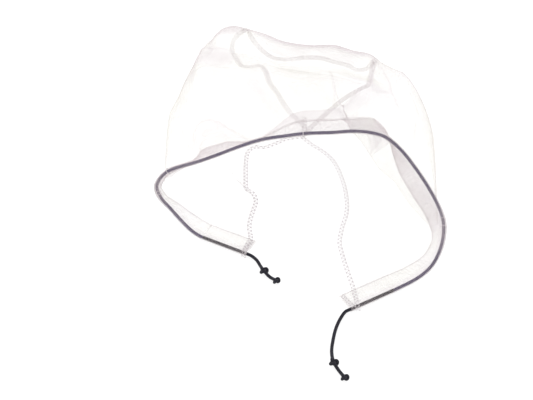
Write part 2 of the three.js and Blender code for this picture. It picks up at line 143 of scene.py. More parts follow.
# ---- curves and grids ------------------------------------------------------------------------
def catmull(knots: Array, t: Array) -> Array:
    """Centripetal Catmull-Rom spline: a cubic between knots, paced by the root of their gap.

    Args:
        knots: Points on the curve, shape (..., n, 3).
        t: Places from 0 to 1, even in knots, shape (m,).

    Returns:
        Points, shape (..., m, 3).
    """
    knots = np.asarray(knots, float)
    first = 2 * knots[..., :1, :] - knots[..., 1:2, :]
    last = 2 * knots[..., -1:, :] - knots[..., -2:-1, :]
    padded = np.concatenate([first, knots, last], axis=-2)
    spans = knots.shape[-2] - 1
    place = np.clip(np.asarray(t, float), 0, 1) * spans
    index = np.minimum(place.astype(int), spans - 1)
    w = (place - index)[:, None]
    p0, p1, p2, p3 = (padded[..., index + k, :] for k in range(4))

    def pace(a: Array, b: Array) -> Array:
        """Root of the distance between two rows of knots."""
        return np.sqrt(np.linalg.norm(b - a, axis=-1, keepdims=True)).clip(1e-3)

    d0, d1, d2 = pace(p0, p1), pace(p1, p2), pace(p2, p3)
    m1 = ((p1 - p0) / d0 - (p2 - p0) / (d0 + d1) + (p2 - p1) / d1) * d1
    m2 = ((p2 - p1) / d1 - (p3 - p1) / (d1 + d2) + (p3 - p2) / d2) * d1
    return (p1 + m1 * w + (3 * (p2 - p1) - 2 * m1 - m2) * w ** 2
            + (2 * (p1 - p2) + m1 + m2) * w ** 3)


def unit(v: Array) -> Array:
    """Vectors scaled to length one."""
    return v / np.linalg.norm(v, axis=-1, keepdims=True).clip(1e-9)


def lookup(table: Table, place: Array) -> Array:
    """Values at places, in straight lines between a table's rows of place and value."""
    return np.interp(place, *zip(*table))


def run_along(points: Array) -> Array:
    """Distance of each point of a polyline from its start, along it."""
    return np.concatenate([[0], np.cumsum(np.linalg.norm(np.diff(points, axis=0), axis=1))])


def spaced(points: Array, count: int) -> Array:
    """Points at even distances along a polyline.

    Args:
        points: The polyline, shape (n, 3).
        count: How many points to return.

    Returns:
        Points, shape (count, 3).
    """
    run = run_along(points)
    want = np.linspace(0, run[-1], count)
    return np.stack([np.interp(want, run, points[:, k]) for k in range(3)], axis=1)


def smooth(knots: Array, fine: int, count: int) -> Array:
    """Even points on the spline through knots, found from `fine` places on it."""
    return spaced(catmull(knots, np.linspace(0, 1, fine)), count)


def length_of(points: Array) -> float:
    """Length of a polyline."""
    return float(np.linalg.norm(np.diff(points, axis=0), axis=1).sum())


def flat(points: Iterable[Sequence[float]], z: float = 0.0) -> Array:
    """Plan points as 3-D points at height z."""
    return np.array([(x, y, z) for x, y in points], float)


def smooth_plan(points: Iterable[Sequence[float]], count: int, z: float) -> Array:
    """Even points on the smooth curve through plan points, at height z."""
    return smooth(flat(points, z), 400, count)


def route(points: Iterable[Sequence[float]]) -> Array:
    """Even points along the smooth curve through 3-D points."""
    return smooth(np.array(list(points), float), 900, 600)


def tangents(points: Array) -> Array:
    """Unit directions along a polyline."""
    return unit(np.gradient(points, axis=0))


# ---- meshes ----------------------------------------------------------------------------------
def mesh_object(name: str, points_mm: Array, faces: Array, uv: Array | None = None,
                smooth: bool = True) -> bpy.types.Object:
    """Makes a mesh object at the origin from points in the routes' frame.

    Args:
        name: The piece's name.
        points_mm: Points, shape (n, 3).
        faces: Indices, shape (m, 3 or 4).
        uv: Texture place of each point, shape (n, 2).
        smooth: Shades the faces smooth.

    Returns:
        The new object.
    """
    mesh = bpy.data.meshes.new(name)
    verts = (points_mm.reshape(-1, 3) - CENTRE) * MM
    sides = faces.shape[1]
    mesh.vertices.add(len(verts))
    mesh.vertices.foreach_set("co", verts.astype(np.float32).ravel())
    mesh.loops.add(faces.size)
    mesh.loops.foreach_set("vertex_index", faces.astype(np.int32).ravel())
    mesh.polygons.add(len(faces))
    mesh.polygons.foreach_set("loop_start", np.arange(0, faces.size, sides, dtype=np.int32))
    mesh.polygons.foreach_set("use_smooth", np.full(len(faces), smooth))
    if uv is not None:
        layer = mesh.uv_layers.new(name="weave")
        layer.data.foreach_set("uv", uv.reshape(-1, 2)[faces.ravel()].astype(np.float32).ravel())
    mesh.update(calc_edges=True)
    mesh.validate()
    obj = bpy.data.objects.new(name, mesh)
    bpy.context.collection.objects.link(obj)
    return obj


def grid_faces(rows: int, cols: int, wrap: bool = False) -> Array:
    """Quads of a grid of points: each joins a point to the next in its row and its column.

    Args:
        rows: Rows of points.
        cols: Points in a row.
        wrap: Joins the last column to the first.

    Returns:
        Indices, shape (n, 4).
    """
    r, c = np.meshgrid(np.arange(rows - 1), np.arange(cols if wrap else cols - 1), indexing="ij")
    here, beside = r * cols + c, r * cols + (c + 1) % cols
    return np.stack([here, beside, beside + cols, here + cols], axis=-1).reshape(-1, 4)


def cloth_uv(grid: Array) -> Array:
    """Texture places in metres of cloth: lengths run along both ways of the grid.

    Args:
        grid: Points, shape (rows, cols, 3).

    Returns:
        Texture places, shape (rows, cols, 2).
    """
    u = run_along(grid[:, grid.shape[1] // 2])[:, None].repeat(grid.shape[1], axis=1)
    down = np.linalg.norm(np.diff(grid, axis=1), axis=2)
    v = np.concatenate([np.zeros((len(grid), 1)), np.cumsum(down, axis=1)], axis=1)
    return np.stack([u, v], axis=-1) * MM


def cloth(name: str, grid: Array, gather: Array | float = 0.0) -> bpy.types.Object:
    """One layer of cloth, with its crowding as a point attribute.

    Args:
        name: The piece's name.
        grid: Points, shape (rows, cols, 3).
        gather: Extra layers of cloth crowded in at each point.

    Returns:
        The new object.
    """
    obj = mesh_object(name, grid, grid_faces(*grid.shape[:2]), cloth_uv(grid))
    crowd = obj.data.attributes.new("gather", "FLOAT", "POINT")
    crowd.data.foreach_set("value", np.broadcast_to(
        gather, grid.shape[:2]).astype(np.float32).ravel())
    return obj


def tube(points: Array, radius: Array | float, sides: int) -> Part:
    """A round closed tube: a ring round each point, square to the path, with capped ends.

    Args:
        points: The path, shape (n, 3).
        radius: One radius, or one for each point.
        sides: Points in a ring.

    Returns:
        Points, quads and texture places (length along, share round).
    """
    way = tangents(points)
    frames = np.empty_like(points)
    side = unit(np.cross(way[0], (0.13, 0.21, 0.97)))
    for i, w in enumerate(way):
        side = unit(side - w * np.dot(side, w))
        frames[i] = side
    other = np.cross(way, frames)
    turn = np.linspace(0, 2 * math.pi, sides, endpoint=False)
    size = np.broadcast_to(np.asarray(radius, float), len(points))[:, None, None]
    rings = points[:, None] + size * (np.cos(turn)[None, :, None] * frames[:, None]
                                      + np.sin(turn)[None, :, None] * other[:, None])
    ends = [np.repeat(p[None, None], sides, axis=1) for p in (points[0], points[-1])]
    rings = np.concatenate([ends[0], rings, ends[1]])
    run = run_along(points)
    run = np.concatenate([[run[0]], run, [run[-1]]])[:, None].repeat(sides, axis=1)
    share = (turn / (2 * math.pi))[None].repeat(len(rings), axis=0)
    return rings, grid_faces(len(rings), sides, wrap=True), np.stack([run, share], axis=-1)


def join_parts(name: str, parts: Sequence[Part]) -> bpy.types.Object:
    """One object from several tubes, with doubled points at their caps merged.

    Args:
        name: The piece's name.
        parts: The tubes.

    Returns:
        The new object.
    """
    points, faces, uvs, start = [], [], [], 0
    for part_points, part_faces, part_uv in parts:
        points.append(part_points.reshape(-1, 3))
        faces.append(part_faces + start)
        uvs.append(part_uv.reshape(-1, 2))
        start += len(points[-1])
    obj = mesh_object(name, np.concatenate(points), np.concatenate(faces), np.concatenate(uvs))
    weld(obj)
    return obj


def weld(obj: bpy.types.Object) -> None:
    """Merges doubled points and turns all faces outwards.

    Args:
        obj: The object whose mesh is mended.
    """
    mesh = bmesh.new()
    mesh.from_mesh(obj.data)
    bmesh.ops.remove_doubles(mesh, verts=mesh.verts, dist=1e-6)
    bmesh.ops.dissolve_degenerate(mesh, edges=mesh.edges, dist=1e-7)
    bmesh.ops.recalc_face_normals(mesh, faces=mesh.faces)
    mesh.to_mesh(obj.data)
    mesh.free()


# ---- shader maths ----------------------------------------------------------------------------
class Value:
    """A number that varies over a surface: a socket whose operators add Math nodes."""

    def __init__(self, kit: "Shader", socket: bpy.types.NodeSocket) -> None:
        """Wraps a socket of a shader's tree."""
        self.kit, self.socket = kit, socket

    def _do(self, operation: str, *inputs: "Value | float") -> "Value":
        """One Math node on the inputs."""
        return self.kit.maths(operation, *inputs)

    def __add__(self, other: "Value | float") -> "Value":
        """Sum."""
        return self._do("ADD", self, other)

    def __sub__(self, other: "Value | float") -> "Value":
        """Difference."""
        return self._do("SUBTRACT", self, other)

    def __rsub__(self, other: "Value | float") -> "Value":
        """Difference, from a plain number."""
        return self._do("SUBTRACT", other, self)

    def __mul__(self, other: "Value | float") -> "Value":
        """Product."""
        return self._do("MULTIPLY", self, other)

    def __truediv__(self, other: "Value | float") -> "Value":
        """Quotient."""
        return self._do("DIVIDE", self, other)

    def __rtruediv__(self, other: "Value | float") -> "Value":
        """Quotient, of a plain number."""
        return self._do("DIVIDE", other, self)

    def __pow__(self, other: "Value | float") -> "Value":
        """Power."""
        return self._do("POWER", self, other)

    def __rpow__(self, other: "Value | float") -> "Value":
        """Power of a plain number."""
        return self._do("POWER", other, self)

    __radd__, __rmul__ = __add__, __mul__


class Shader:
    """Builds one material's node tree."""

    def __init__(self, name: str) -> None:
        """Starts an empty material.

        Args:
            name: The material's name.
        """
        self.material = bpy.data.materials.new(name)
        self.material.use_nodes = True
        self.tree = self.material.node_tree
        self.tree.nodes.clear()

    def node(self, kind: str, settings: dict | None = None, **inputs: object) -> bpy.types.Node:
        """Adds a node.

        Args:
            kind: The node's type, without its ShaderNode prefix.
            settings: Attributes set before the inputs.
            **inputs: Values or links of its sockets; underscores stand for spaces, and
                i0, i1, ... for sockets by number.

        Returns:
            The node.
        """
        made = self.tree.nodes.new("ShaderNode" + kind)
        for key, value in (settings or {}).items():
            setattr(made, key, value)
        for key, value in inputs.items():
            numbered = key[0] == "i" and key[1:].isdigit()
            socket = made.inputs[int(key[1:]) if numbered else key.replace("_", " ")]
            if isinstance(value, Value):
                value = value.socket
            if isinstance(value, bpy.types.NodeSocket):
                self.tree.links.new(value, socket)
            else:
                socket.default_value = value
        return made

    def value(self, kind: str, output: int | str = 0, settings: dict | None = None,
              **inputs: object) -> Value:
        """Adds a node and wraps one of its outputs."""
        return Value(self, self.node(kind, settings, **inputs).outputs[output])

    def maths(self, operation: str, *inputs: Value | float, clamp: bool = False) -> Value:
        """One Math node."""
        named = {f"i{k}": v for k, v in enumerate(inputs)}
        return self.value("Math", 0, {"operation": operation, "use_clamp": clamp}, **named)

    def weave(self) -> tuple[Value, Value]:
        """The piece's own map.

        Returns:
            Its two texture places.
        """
        place = self.node("SeparateXYZ",
                          Vector=self.node("UVMap", {"uv_map": "weave"}).outputs[0])
        return Value(self, place.outputs[0]), Value(self, place.outputs[1])

    def noise(self, scale: float, detail: float, roughness: float = 0.5) -> Value:
        """Noise from 0 to 1 that is fixed to the piece."""
        return self.value("TexNoise", 0, None, Vector=self.node("TexCoord").outputs["Object"],
                          Scale=scale, Detail=detail, Roughness=roughness)

    def step(self, value: Value, low: float, high: float) -> Value:
        """Smooth step from 0 at low to 1 at high."""
        return self.value("MapRange", 0, {"interpolation_type": "SMOOTHSTEP"}, Value=value,
                          From_Min=low, From_Max=high, To_Min=0.0, To_Max=1.0)

    def tint(self, share: Value, low: Sequence[float], high: Sequence[float]) -> Value:
        """Mixes two colours."""
        mix = self.node("Mix", {"data_type": "RGBA"}, i0=share, i6=(*low, 1), i7=(*high, 1))
        return Value(self, mix.outputs[2])

    def surface(self, shader: bpy.types.NodeSocket) -> bpy.types.Material:
        """Ends the tree in its output."""
        self.node("OutputMaterial", Surface=shader)
        return self.material


# ---- finishes --------------------------------------------------------------------------------
@dataclass(frozen=True)
class TulleFinish:
    """Fine hexagonal tulle: open cells between threads, denser where seen along the cloth."""

    name: str = "fine white tulle"
    thread_colour: tuple[float, float, float] = (0.64, 0.57, 0.585)
    warm_colour: tuple[float, float, float] = (0.67, 0.64, 0.57)
    cell: float = 0.0009
    coverage: float = 0.072        # share that one layer covers, face on
    crowding: float = 1.0          # how much a unit of the gather attribute adds
    least_open: float = 0.05
    least_cosine: float = 0.14     # of the slant at which the cloth is seen

    def make(self) -> bpy.types.Material:
        """The netting: alpha from three crossed waves that leave a honeycomb of threads.

        A layer that covers a share c face on covers 1 - (1 - c) ** (1 / cos) seen at a slant.
        The "gather" attribute says how much more cloth is crowded into a fold or a seam.

        Returns:
            The material.
        """
        kit = Shader(self.name)
        u, v = kit.weave()
        turn = 2 * math.pi / self.cell
        waves = [kit.maths("COSINE", u * (turn * math.cos(a)) + v * (turn * math.sin(a)))
                 for a in (0, 2 * math.pi / 3, 4 * math.pi / 3)]
        thread = 1 - kit.step(waves[0] + waves[1] + waves[2], -0.95, -0.1)
        gather = kit.value("Attribute", "Fac", {"attribute_name": "gather"})
        slack, dye = kit.noise(45.0, 3.0, 0.6), kit.noise(14.0, 1.0)
        open_share = 1 - (thread * 1.7 + 0.3) * (gather * self.crowding + 1) * (
            slack + 0.5) * self.coverage
        edge_on = 1 - kit.value("LayerWeight", "Facing", None, Blend=0.5)
        depth = 1 / kit.maths("MAXIMUM", edge_on, self.least_cosine)
        alpha = 1 - kit.maths("MAXIMUM", open_share, self.least_open) ** depth
        warmth = kit.step(dye, 0.3, 0.55) * (1 - kit.step(gather, 0.2, 1.5))
        soft = kit.node("Bump", None, Height=thread.socket, Distance=0.0002, Strength=0.3)
        cloth_shader = kit.node(
            "BsdfPrincipled", None,
            Base_Color=kit.tint(warmth, self.thread_colour, self.warm_colour),
            Roughness=0.85, Sheen_Weight=0.15, Sheen_Roughness=0.5, Specular_IOR_Level=0.25,
            Alpha=alpha, Normal=soft.outputs[0])
        return kit.surface(cloth_shader.outputs[0])


@dataclass(frozen=True)
class ThreadFinish:
    """White polyester sewing thread, two plies twisted together."""

    name: str = "white overlock thread"
    colour: tuple[float, float, float] = (0.69, 0.635, 0.655)
    ply: float = 0.0011
    painted_groove_shade: float = 0.8            # painted shade: how bright the grooves beside the plies are painted, as a share of the colour

    def make(self) -> bpy.types.Material:
        """Twisted plies: stripes that run slantwise round the thread, with the colour painted
        darker in the grooves as painted shade.

        Returns:
            The material.
        """
        kit = Shader(self.name)
        along, round_share = kit.weave()
        twist = kit.maths("SINE", along * (2 * math.pi * MM / self.ply)
                          + round_share * (4 * math.pi)) * 0.5 + 0.5
        bump = kit.node("Bump", None, Height=twist.socket, Distance=0.0001, Strength=0.6)
        # painted shade: the base colour is darker in the grooves between the plies
        shader = kit.node(
            "BsdfPrincipled", None, Base_Color=kit.tint(
                twist, [c * self.painted_groove_shade for c in self.colour], self.colour),
            Roughness=0.6, Sheen_Weight=0.2, Normal=bump.outputs[0])
        return kit.surface(shader.outputs[0])


@dataclass(frozen=True)
class BraidFinish:
    """Black braided elastic: two families of strands that cross in small diamonds."""

    name: str = "black braided elastic"
    # painted light: painted shade in the grooves, then a painted highlight on the raised strands
    groove_shade_colour: tuple[float, float, float] = (0.003, 0.003, 0.006)
    light: tuple[float, float, float] = (0.014, 0.013, 0.024)
    pitch: float = 1.7
    strands: int = 8

    def make(self) -> bpy.types.Material:
        """Braid: the higher of two crossed waves stands proud, and the colour is painted lighter
        there as a painted highlight and darker in the grooves as painted shade.

        Returns:
            The material.
        """
        kit = Shader(self.name)
        run, share = kit.weave()
        along = run * (2 * math.pi / self.pitch)
        about = share * (2 * math.pi * self.strands)
        one = kit.maths("SINE", along + about)
        two = kit.maths("SINE", along - about)
        braid = kit.maths("MAXIMUM", one, two) * 0.5 + 0.5
        fuzz = kit.noise(2600.0, 2.0)
        bump = kit.node("Bump", None, Height=(braid + fuzz * 0.3).socket, Distance=0.0003,
                        Strength=0.7)
        # painted highlight on the raised strands, painted shade in the grooves
        shader = kit.node(
            "BsdfPrincipled", None, Base_Color=kit.tint(braid, self.groove_shade_colour, self.light),
            Roughness=0.7 + (1 - braid) * 0.2, Sheen_Weight=0.06, Specular_IOR_Level=0.3,
            Normal=bump.outputs[0])
        return kit.surface(shader.outputs[0])


@dataclass(frozen=True)
class TableFinish:
    """The plain white table, with a trace of mottling."""

    name: str = "white light table"
    colour: tuple[float, float, float] = (0.36, 0.36, 0.36)
    glow: float = 0.76

    def make(self) -> bpy.types.Material:
        """A matt white that varies by one part in a hundred.

        Returns:
            The material.
        """
        kit = Shader(self.name)
        mottle = kit.noise(3.0, 2.0)
        shader = kit.node(
            "BsdfPrincipled", None, Base_Color=kit.tint(
                mottle, [c * 0.99 for c in self.colour], self.colour),
            Roughness=0.9, Specular_IOR_Level=0.0, Emission_Color=(1, 1, 1, 1),
            Emission_Strength=self.glow)
        return kit.surface(shader.outputs[0])


# ---- the casing ------------------------------------------------------------------------------
@dataclass
class Casing:
    """The folded hem round the face opening, with the cord's channel at its outer fold."""

    width: float = 20.0
    bead: float = 2.3              # radius of the channel round the cord
    layer: float = 0.35            # half the gap between the hem's two layers
    seat: float = 0.4              # where the flat layers start, from the cord's centre
    taper: float = 9.0             # where the channel has closed to flat layers
    stitch_inset: float = 1.6
    flat_points: int = 15
    round_points: int = 13
    wrap_points: int = 21          # points of a section that count as wrapped round the cord
    wrap_ease: float = 0.7         # how much less crowded the cloth is there
    lip_slack: float = 4.0         # extra layers where the fold stands off the cord
    ripple: float = 0.3
    ripple_length: float = 11.0
    # the hem's depth by place on the route: less where it rolls at the cheeks and the forehead
    depths: Table = (
        (0, 20), (4, 19), (5, 16.5), (6, 12.5), (7, 8), (8, 8), (9, 10), (10, 14), (11, 18),
        (12, 20), (13.5, 20), (15.5, 13.5), (19, 13.5), (20.3, 18), (21.3, 19), (22.5, 20),
        (26, 19), (27, 14), (28, 14), (29.5, 18), (31, 20), (34, 20))
    # how crowded the hem's cloth is
    crowding: Table = (
        (0, 1), (0.3, 0.3), (7, 0.3), (8.5, 1.5), (10.5, 1.6), (12, 2), (13, 2), (14.5, 0.8),
        (16, 0.9), (17, 1.2), (18, 1.5), (19.2, 1.4), (20, 1), (21, 1.7), (22, 2.3),
        (25.2, 2.3), (26.5, 1), (28, 0.6), (33.6, 0.6), (34, 1))
    # how far the outer fold stands off the cord, as a share of the channel's radius
    loose: Table = (
        (6, 1), (7.5, 1.8), (8.6, 1.6), (10, 1), (24.5, 1), (26, 1.4), (27, 1.4), (28.5, 1))
    # how the hem leans between the left rise and the forehead, where the netting lifts it
    lift: Table = (
        (9, 0), (10, -0.4), (11, -0.2), (11.5, -0.02), (12, 0.12), (12.5, 0.17), (13, 0.08),
        (13.5, -0.08), (14, -0.5), (14.7, -1), (15.3, -0.7), (16, -0.35), (16.6, -0.1), (17, 0))
    wrap_gap: float = 0.35         # how far a stray stitch stands off the channel
    # where stray stitches are slung over the cord
    wraps: tuple[float, ...] = (7.3, 7.6, 10, 16.9, 25.8, 26.3)

    def place(self, index: float) -> float:
        """Share of the way along the route, from 0 to 1, of a place counted in knots."""
        return index / SPANS

    def frames(self, t: Array) -> tuple[Array, Array, Array, Array]:
        """The casing's own directions along the route.

        The way along is the route's slope; the way inwards is the knots' lean, made square to
        it; the inside normal is square to both.

        Args:
            t: Shares of the way along the route, shape (n,).

        Returns:
            Cord centre, way along, way inwards and inside normal, each of shape (n, 3).
        """
        rim = np.array([cord for cord, _ in CASING_ROUTE], float)
        lean = np.array([way for _, way in CASING_ROUTE], float)
        step = 1e-4
        origin = catmull(rim, t)
        along = unit(catmull(rim, t + step) - catmull(rim, t - step))
        inward = catmull(lean, t)
        inward[:, 2] += lookup(self.lift, t * SPANS)
        inward = unit(inward - along * (inward * along).sum(axis=1, keepdims=True))
        return origin, along, inward, np.cross(inward, along)

    def points(self, t: Array, reach: Array | float, rise: Array | float = 0.0) -> Array:
        """Points placed in the casing's own directions.

        Args:
            t: Shares of the way along the route, shape (n,).
            reach: Distance inwards from the cord.
            rise: Distance to the casing's inside.

        Returns:
            Points, shape (n, 3).
        """
        origin, _, inward, inside = self.frames(np.atleast_1d(t))
        reach = np.broadcast_to(reach, len(origin))[:, None]
        rise = np.broadcast_to(rise, len(origin))[:, None]
        return origin + inward * reach + inside * rise

    def widths(self, t: Array) -> Array:
        """Hem width at shares t of the way along."""
        return lookup(self.depths, t * SPANS)

    def fold(self, start: float, end: float, rows: int) -> Array:
        """Grid of the folded hem: from its stitched edge round the cord and back.

        The section is a flat layer that opens into a round bead, joined by a smooth step.
        Small ripples run across it, because the elastic gathers the cloth a little: two sine
        waves of the distance along, which fade at the bead and at the stitched edge.

        Args:
            start: Share of the way along the route where the grid starts.
            end: Share where it ends.
            rows: How many sections it has.

        Returns:
            Points, shape (rows, 2 * flat_points + round_points, 3).
        """
        t = np.linspace(start, end, rows)
        origin, _, inward, inside = self.frames(t)
        width = self.widths(t)[:, None]
        turn = np.linspace(0.5 * math.pi, 1.5 * math.pi, self.round_points)
        flat_reach = self.seat + (width - self.seat) * np.linspace(1, 0, self.flat_points)
        blend = np.clip(flat_reach / self.taper, 0, 1)
        half = self.bead + (self.layer - self.bead) * blend ** 2 * (3 - 2 * blend)
        bead = self.bead * lookup(self.loose, t * SPANS)[:, None]
        round_reach = bead * np.cos(turn)[None]
        round_rise = np.broadcast_to(self.bead * np.sin(turn), (rows, self.round_points))
        reach = np.concatenate([flat_reach, round_reach, flat_reach[:, ::-1]], axis=1)
        rise = np.concatenate([half, round_rise, -half[:, ::-1]], axis=1)
        run = run_along(origin)
        wave = (np.sin(2 * math.pi * run / self.ripple_length)
                + 0.6 * np.sin(2 * math.pi * run / (self.ripple_length * 0.61) + 1.3))[:, None]
        strength = (self.ripple * np.clip((reach - 2.5) / 6, 0, 1)
                    * np.clip((width - reach) / 5, 0, 1))
        rise = rise + wave * strength * np.sign(rise)
        return (origin[:, None] + inward[:, None] * reach[..., None]
                + inside[:, None] * rise[..., None])

    def gather(self, start: float, end: float, rows: int) -> Array:
        """Crowding over the fold's grid: by place along it, and more where it wraps the cord.

        Args:
            start: Share of the way along the route where the grid starts.
            end: Share where it ends.
            rows: How many sections it has.

        Returns:
            Crowding, shape (rows, 2 * flat_points + round_points).
        """
        place = np.linspace(start, end, rows) * SPANS
        rest = np.zeros((2 * self.flat_points + self.round_points - self.wrap_points) // 2)
        wrapped = np.concatenate([rest, np.ones(self.wrap_points), rest])[None]
        slack = 1 + self.lip_slack * (lookup(self.loose, place) - 1)
        crowd = lookup(self.crowding, place)[:, None]
        return crowd * (1 - self.wrap_ease * wrapped) + slack[:, None] * wrapped

    def wrap(self, index: float) -> Array:
        """A stray stitch slung over the bead: part of a ring round the cord.

        Args:
            index: Its place on the route, counted in knots.

        Returns:
            Its path, shape (24, 3).
        """
        turn = np.linspace(-0.4 * math.pi, 1.1 * math.pi, 24)
        slant = np.linspace(-0.0012, 0.0012, len(turn))
        origin, _, inward, inside = self.frames(self.place(index) + slant)
        size = self.bead + self.wrap_gap
        return (origin - inward * np.sin(turn)[:, None] * size
                + inside * np.cos(turn)[:, None] * size)


# ---- the netting -----------------------------------------------------------------------------
@dataclass(frozen=True)
class Crease:
    """A fold pressed into a panel, along a line seen from above."""

    line: tuple[tuple[float, float], ...]
    height: float = 1.5            # how far its ridge stands proud
    width: float = 1.6             # half-width of the ridge
    gather: float = 1.0            # cloth crowded into it, in extra layers
    spread: float = 1.2            # half-width of the crowded cloth


@dataclass
class Panels:
    """The two side panels: ribs run from the casing's hem over the top, round the fold and
    back under on the table."""

    casing: Casing
    net: float = 1.2
    hem_gap: float = 1.4
    overlap: float = 2.0           # how far the netting is sewn into the hem
    turn_gap: float = 2.0          # how far past the hem it turns
    fold_height: float = 44.0
    fold_tuck: float = 9.0
    full_span: float = 70.0        # ribs shorter than this puff up less
    least_puff: float = 0.15
    shoulder: float = 0.74         # height there, as a share of the hem's
    shoulder_lift: float = 8.0
    crown: float = 0.4
    crown_lift: float = 12.0
    rows: int = 250
    cols: int = 250
    table_height: float = 0.6
    seam_turn: float = 0.35        # share of the right fold's foot that the back seam follows
    seam_inset: float = 4.5
    flap_start: float = 18.0
    rim_fade: float = 0.8
    rim_line: float = 0.6          # half-width of the line at the edge of the crowded cloth
    rim_line_share: float = 0.7
    cord_drop: float = 16.0        # how far below the hem the cord hides the crowded cloth
    cord_fade: float = 3.0

    # where the netting at the right cheek folds back outwards, by place on the casing's route
    flap: Table = (
        (18.8, 47, 13, 75), (19.3, 52, 16, 69.5), (20.2, 59, 19, 57), (21, 63.5, 20, 48),
        (21.7, 70, 22, 34), (22.4, 77, 14, 27), (23.2, 91, 4, 21), (24, 96.5, -5, 17),
        (24.7, 102, -14, 13), (25.1, 110, -27, 11), (25.4, 120, -39, 7))
    # how far the crowded cloth reaches behind the hem, and how crowded it is
    rim_band: Table = (
        (11.1, 0), (11.6, 5), (12, 11), (12.5, 14), (13.3, 14), (14.3, 11), (15, 7), (15.6, 7),
        (16.5, 9), (17.6, 9), (18.1, 10), (18.4, 15), (18.8, 15), (19.3, 13), (20, 9),
        (20.6, 6), (21, 5), (21.6, 0))
    rim_crowding: Table = (
        (11.3, 0.8), (14.5, 0.6), (15.3, 1.8), (17, 4), (18.2, 3.4), (19, 1.3), (20, 0.8),
        (21, 1.6))

    def flap_share(self, place: Array) -> Array:
        """How much of the turn into the flap is done at places counted in knots, 0 to 1."""
        return np.clip(place - self.flap_start, 0, 1)[:, None]

    def turned(self, t: Array) -> Array:
        """Where the netting turns back: just past the hem, or hung down as the flap.

        Args:
            t: Shares of the way along the casing's route, shape (n,).

        Returns:
            Points, shape (n, 3).
        """
        place = t * SPANS
        knots = np.array(self.flap)
        hung = np.stack([np.interp(place, knots[:, 0], knots[:, k]) for k in (1, 2, 3)], axis=1)
        share = self.flap_share(place)
        past_hem = self.casing.points(t, self.casing.width + self.turn_gap)
        return hung * share + past_hem * (1 - share)

    def rim_gather(self, grid: Array, start: float, end: float) -> Array:
        """Crowding behind the hem: even up to the band's own edge, with a crisp line there.

        The distance from the hem is the length along a rib, less the way down the flap and
        back up. The band ends at the cord, so that the flap below it stays thin.

        Args:
            grid: An upper layer's points, shape (rows, cols, 3).
            start: Place on the casing's route of its first rib, counted in knots.
            end: Place of its last rib.

        Returns:
            Crowding, shape (rows, cols).
        """
        place = np.linspace(start, end, len(grid))
        reach = lookup(self.rim_band, place)[:, None]
        crowd = lookup(self.rim_crowding, place)[:, None]
        run = np.linalg.norm(np.diff(grid, axis=1), axis=2).cumsum(axis=1)
        run = np.concatenate([np.zeros((len(grid), 1)), run], axis=1) - self.overlap
        down = run[:, grid.shape[1] // RIB_SPANS, None] * self.flap_share(place)
        run = run - 2 * down
        band = reach > 0.5
        inside = np.clip((reach - run) / self.rim_fade, 0, 1) * band
        line = np.exp(-((run - reach + self.rim_line) / self.rim_line) ** 2) * band
        height = grid[..., 1:].sum(axis=2)
        above = np.clip((height - height[:, :1] + self.cord_drop) / self.cord_fade, 0, 1)
        return (inside * crowd + line * crowd * self.rim_line_share) * above

    def ribs(self, t: Array, edge: Array, w: Array) -> Array:
        """Ribs from the hem at t to the outline's points, at places w along them.

        Args:
            t: Places on the casing, shape (n,).
            edge: Plan points of the outline, shape (n, 3).
            w: Places along a rib, shape (m,).

        Returns:
            Grid, shape (n, m, 3).
        """
        hem = self.casing.points(t, self.casing.width + self.hem_gap + self.net / 2)
        span = np.hypot(*(edge - hem)[:, :2].T)
        puff = np.clip(span / self.full_span, self.least_puff, 1)
        tuck = self.fold_tuck * puff / span
        fold = self.fold_height * puff

        def point(share: Array | float, z: Array) -> Array:
            """A rib's knot.

            Args:
                share: Share of the rib's way in plan.
                z: Its height.

            Returns:
                One point for each rib.
            """
            p = hem + (edge * (1, 1, 0) + hem * (0, 0, 1) - hem) * np.reshape(
                np.broadcast_to(share, len(hem)), (-1, 1))
            p[:, 2] = z
            return p

        table = np.full(len(hem), self.net / 2 + 0.05)
        sewn = self.casing.points(t, self.casing.widths(t) - self.overlap)
        shoulder = hem[:, 2] * self.shoulder + self.shoulder_lift * puff
        crown = hem[:, 2] * self.crown + self.crown_lift * puff
        # sewn edge, turn at the hem, shoulder, crown, and the outer fold down to its foot
        knots = np.stack([
            sewn, self.turned(t),
            point(0.33, np.maximum(shoulder, fold * 0.6)), point(0.66, np.maximum(crown, fold)),
            point(0.93, fold * 0.9), point(1, fold * 0.5), point(1 - tuck * 0.35, fold * 0.14),
            point(1 - tuck, table)], axis=1)
        return catmull(knots, w)

    def upper(self, side: Side) -> Array:
        """Grid of a side's upper layer, from the casing to the foot of its fold.

        Args:
            side: Which half of the hood.

        Returns:
            Points, shape (rows, cols, 3).
        """
        outline = LEFT_OUTLINE if side is Side.LEFT else RIGHT_OUTLINE
        start, end = ((LEFT_RISE, FOREHEAD) if side is Side.LEFT else (FOREHEAD, RIGHT_RISE))
        u = np.linspace(0, 1, self.rows)
        t = self.casing.place(start) + u * (self.casing.place(end) - self.casing.place(start))
        return self.ribs(t, smooth_plan(outline, self.rows, 0), np.linspace(0, 1, self.cols))

    def under_seam(self, count: int) -> Array:
        """The seam on the table: from the nape to its corner, then back along the fold's foot.

        Args:
            count: How many points to return.

        Returns:
            Points, shape (count, 3).
        """
        grid = self.upper(Side.RIGHT)[:int(self.rows * self.seam_turn)]
        foot = grid[:, -1]
        inset = unit(foot - grid[:, -8]) * (1, 1, 0) * self.seam_inset
        back = (foot + inset)[::-1][::12]
        knots = np.concatenate([flat(NAPE_SEAM), back])
        knots[:, 2] = self.table_height
        return smooth(knots, 600, count)

